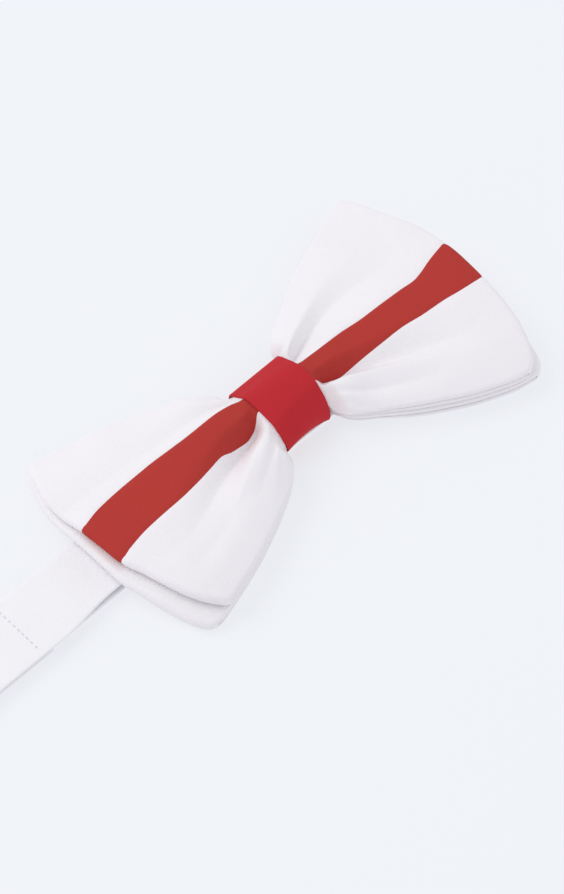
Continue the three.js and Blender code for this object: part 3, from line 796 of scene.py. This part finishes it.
stitchPlan = {"pitch": 1.55, "length": 1.15, "radius": 0.17}


def stitchRow(name, start, end, lift):
    # one stitch is shaped once and copied along the row; lift is which way the cloth faces
    pitch, length, radius = stitchPlan["pitch"], stitchPlan["length"], stitchPlan["radius"]
    start, end, lift = Vector(start), Vector(end), Vector(lift)
    way = (end - start).normalized()
    count = int((end - start).length / pitch)
    deselectAll()
    bpy.ops.mesh.primitive_cylinder_add(vertices=8, radius=1, depth=2)
    first = bpy.context.object
    bpy.ops.object.mode_set(mode="EDIT")
    bpy.ops.mesh.select_all(action="SELECT")
    bpy.ops.mesh.bevel(offset=0.55, segments=2, affect="EDGES")
    bpy.ops.object.mode_set(mode="OBJECT")
    side = way.cross(lift)
    for vertex in first.data.vertices:
        x, y, z = vertex.co
        arch = radius * 0.9 * (1 - z * z) - radius * 0.6
        vertex.co = mm * (way * z * length / 2 + side * x * radius + lift * (y * radius + arch))
    copies = []
    for i in range(count):
        place = start + way * (i + 0.5 + 0.06 * math.sin(7.3 * i)) * (end - start).length / count
        copy = bpy.data.objects.new(name, first.data.copy())
        bpy.context.scene.collection.objects.link(copy)
        for vertex in copy.data.vertices:
            vertex.co = vertex.co + place * mm
        copies.append(copy)
    bpy.data.objects.remove(first)
    makeActive(copies[0])
    for copy in copies:
        copy.select_set(True)
    bpy.ops.object.join()
    row = bpy.context.object
    row.name = name
    smoothShade(row, 60)
    return row


knotWrap = buildWrap()
give(knotWrap, knotCloth, ["knot_wrap"], "bow")
knotLining = buildKnotLining()
give(knotLining, liningCloth, ["knot_interlining"], "bow")
give(buildWaistThread(), whiteThread, ["waist_thread"], "bow")
knotStitches = stitchRow("knotStitches", (-6.5, 0, 1.2), (6.5, 0, 1.2), (0, 0, -1))
give(knotStitches, knotThread, ["knot_stitches"], "bow")
print("knot wrapped and sewn")

strapPlan = {  # places are (x, z) along the middle of the cloth
    "half": 9.5,
    "thick": 0.9,
    "loopThick": 0.6,
    "barTurn": 1.35,  # how far the cloth's middle stands off a bar it turns round
    "eyeBar": (-116.8, 3.0),
    "hookBar": (-188.0, 1.8),
    "sliderBar": (-143.8, 1.2),
    "fold": (44.2, 1.55),  # where the long half turns back under the bow
    "toEye": [(44.1, 2.65), (-66, 2.65), (-86, 2.85), (-108, 2.85), (-112, 3.6)],
    "fromEye": [(-112, 1.4), (-108, 1.65), (-87, 1.65)],
    "toSlider": [(-131.6, 0.45), (-138.5, 3.15), (-151, 3.15)],
    "toHook": [(-151, 3.15), (-184, 3.15)],
    "fromHook": [(-150.6, 0.45), (-183.6, 0.45)],
    "stitches": {"short": (-90, 3.3), "loop": (-148.2, 2.4), "half": 7.4},
}


def alongLine(line, spacing):
    # places and left-hand normals at even steps along a line of (x, z) points
    line = np.array(line, float)
    reach = np.concatenate([[0], np.cumsum(np.linalg.norm(np.diff(line, axis=0), axis=1))])
    at = np.linspace(0, reach[-1], max(int(reach[-1] / spacing), 2) + 1)
    places = np.stack([np.interp(at, reach, line[:, k]) for k in range(2)], 1)
    way = np.gradient(places, axis=0)
    way /= np.linalg.norm(way, axis=1)[:, None]
    return places, np.stack([-way[:, 1], way[:, 0]], 1)


def strapPiece(name, line, seed, thick=strapPlan["thick"], wave=0.05, sideways=lambda xs, ys: ys):
    # a pressed band of double cloth whose middle follows the line
    half = strapPlan["half"]
    places, normals = alongLine(line, 0.8)
    roll = thick / 2
    flat = np.linspace(-half + roll, half - roll, 21)
    angles = np.linspace(math.pi / 2, -math.pi / 2, 9)[1:-1]
    ys = np.concatenate([flat, half - roll + roll * np.cos(angles), flat[::-1],
                         -half + roll - roll * np.cos(angles), flat[:1]])
    heights = np.concatenate([np.full(21, roll), roll * np.sin(angles), np.full(21, -roll),
                              -roll * np.sin(angles), [roll]])
    pinch = 1 - 0.1 * np.exp(-((half - np.abs(ys)) / 1.2) ** 2)
    uneven = wave * ripple(places[:, :1] + np.zeros(len(ys)), ys[None, :], seed, 21)
    lift = heights * pinch + uneven * np.sign(heights)
    xs = places[:, :1] + normals[:, :1] * lift
    zs = places[:, 1:] + normals[:, 1:] * lift
    across = sideways(xs, ys + 0 * xs)
    points = np.stack([xs, across, zs], 2)
    piece = clothGrid(name, points, closed=True)
    closeHoles(piece)
    smoothShade(piece, 50)
    return piece


def gathered(xs, ys):
    # the neckband is gripped by the knot, and comes out from under the bow a little narrower
    ys = ys * (1 - 0.24 * (1 - smooth(9, 19, np.abs(xs))))
    return ys + 1.7 * (1 - smooth(66, 84, -xs)) * smooth(40, 62, -xs) * (0.5 - 0.5 * ys / strapPlan["half"])


def leaning(xs, ys):
    # the lower ply lies a little to one side of the upper one
    lean = 1.3 * smooth(-130, -108, xs) * (1 - smooth(18, 42, xs))
    return ys + lean + 0.8 * np.exp(-((xs + 6) / 24) ** 2)


def arcLine(centre, radius, start, end, steps=16):
    angles = np.radians(np.linspace(start, end, steps + 1))
    return [(centre[0] + radius * math.cos(a), centre[1] + radius * math.sin(a)) for a in angles]


def giveStrap(piece, nodes):
    give(piece, lightenedStrapCloth, nodes)


def buildStraps():
    turn = strapPlan["barTurn"]
    short = [*strapPlan["toEye"], *arcLine(strapPlan["eyeBar"], turn, 90, 270), *strapPlan["fromEye"]]
    shortBand = strapPiece("shortBand", short, seed=3, sideways=gathered)
    giveStrap(shortBand, ("neckband_centre", "short_strap"))
    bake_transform(shortBand)
    long = [strapPlan["toEye"][0], *arcLine(strapPlan["fold"], 1.1, 90, -90), *strapPlan["toSlider"]]
    longBand = strapPiece("longBand", long, seed=5, sideways=leaning)
    giveStrap(longBand, ("long_strap_fold", "long_strap"))
    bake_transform(longBand)
    reach = [*strapPlan["toHook"], *arcLine(strapPlan["hookBar"], turn, 90, 270), (-183.9, 0.45)]
    hookLoop = strapPiece("hookLoop", reach, seed=7)
    giveStrap(hookLoop, ("long_strap_reach", "strap_turn"))
    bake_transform(hookLoop)
    returnPly = strapPiece("returnPly", strapPlan["fromHook"], seed=9)
    giveStrap(returnPly, ("long_strap_return",))
    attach(returnPly, "slider")
    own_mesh(returnPly)
    aroundBar = [(-150.2, 0.3), *arcLine(strapPlan["sliderBar"], 0.9, -90, 90), (-150.2, 2.1)]
    sliderLoop = strapPiece("sliderLoop", aroundBar, seed=11, thick=strapPlan["loopThick"], wave=0.02)
    giveStrap(sliderLoop, ("slider_loop",))
    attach(sliderLoop, "slider")


def addStitches():
    plan = strapPlan["stitches"]
    rows = [
        ("bandStitches", plan["short"], "short_strap_stitches", "short_half"),
        ("loopStitches", plan["loop"], "slider_loop_stitches", "slider"),
    ]
    for name, (x, z), node, body in rows:
        row = stitchRow(name, (x, -plan["half"], z), (x, plan["half"], z), (0, 0, 1))
        give(row, whiteThread, [node], body)


hardwarePlan = {"edge": 0.28}


def addHardware():
    # cast pieces with their edges broken
    for name, node, body in (("eyeFrame", "neckband_eye", "eye"), ("sliderFrame", "slider", "slider"),
                             ("hookFrame", "hook", "hook")):
        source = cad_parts[node]
        copy = bpy.data.objects.new(name, source.data.copy())
        bpy.context.scene.collection.objects.link(copy)
        makeActive(copy)
        bpy.ops.object.mode_set(mode="EDIT")
        bpy.ops.mesh.select_all(action="SELECT")
        bpy.ops.mesh.remove_doubles(threshold=1e-6)
        bpy.ops.mesh.dissolve_limited(angle_limit=math.radians(1))
        bpy.ops.object.mode_set(mode="OBJECT")
        applyModifier(copy, "BEVEL", width=hardwarePlan["edge"] * mm, segments=3, limit_method="ANGLE",
                      angle_limit=math.radians(40))
        smoothShade(copy, 40)
        give(copy, nickel, [node], body)


buildStraps()
addStitches()
addHardware()
print("neckband, stitches and hardware made")
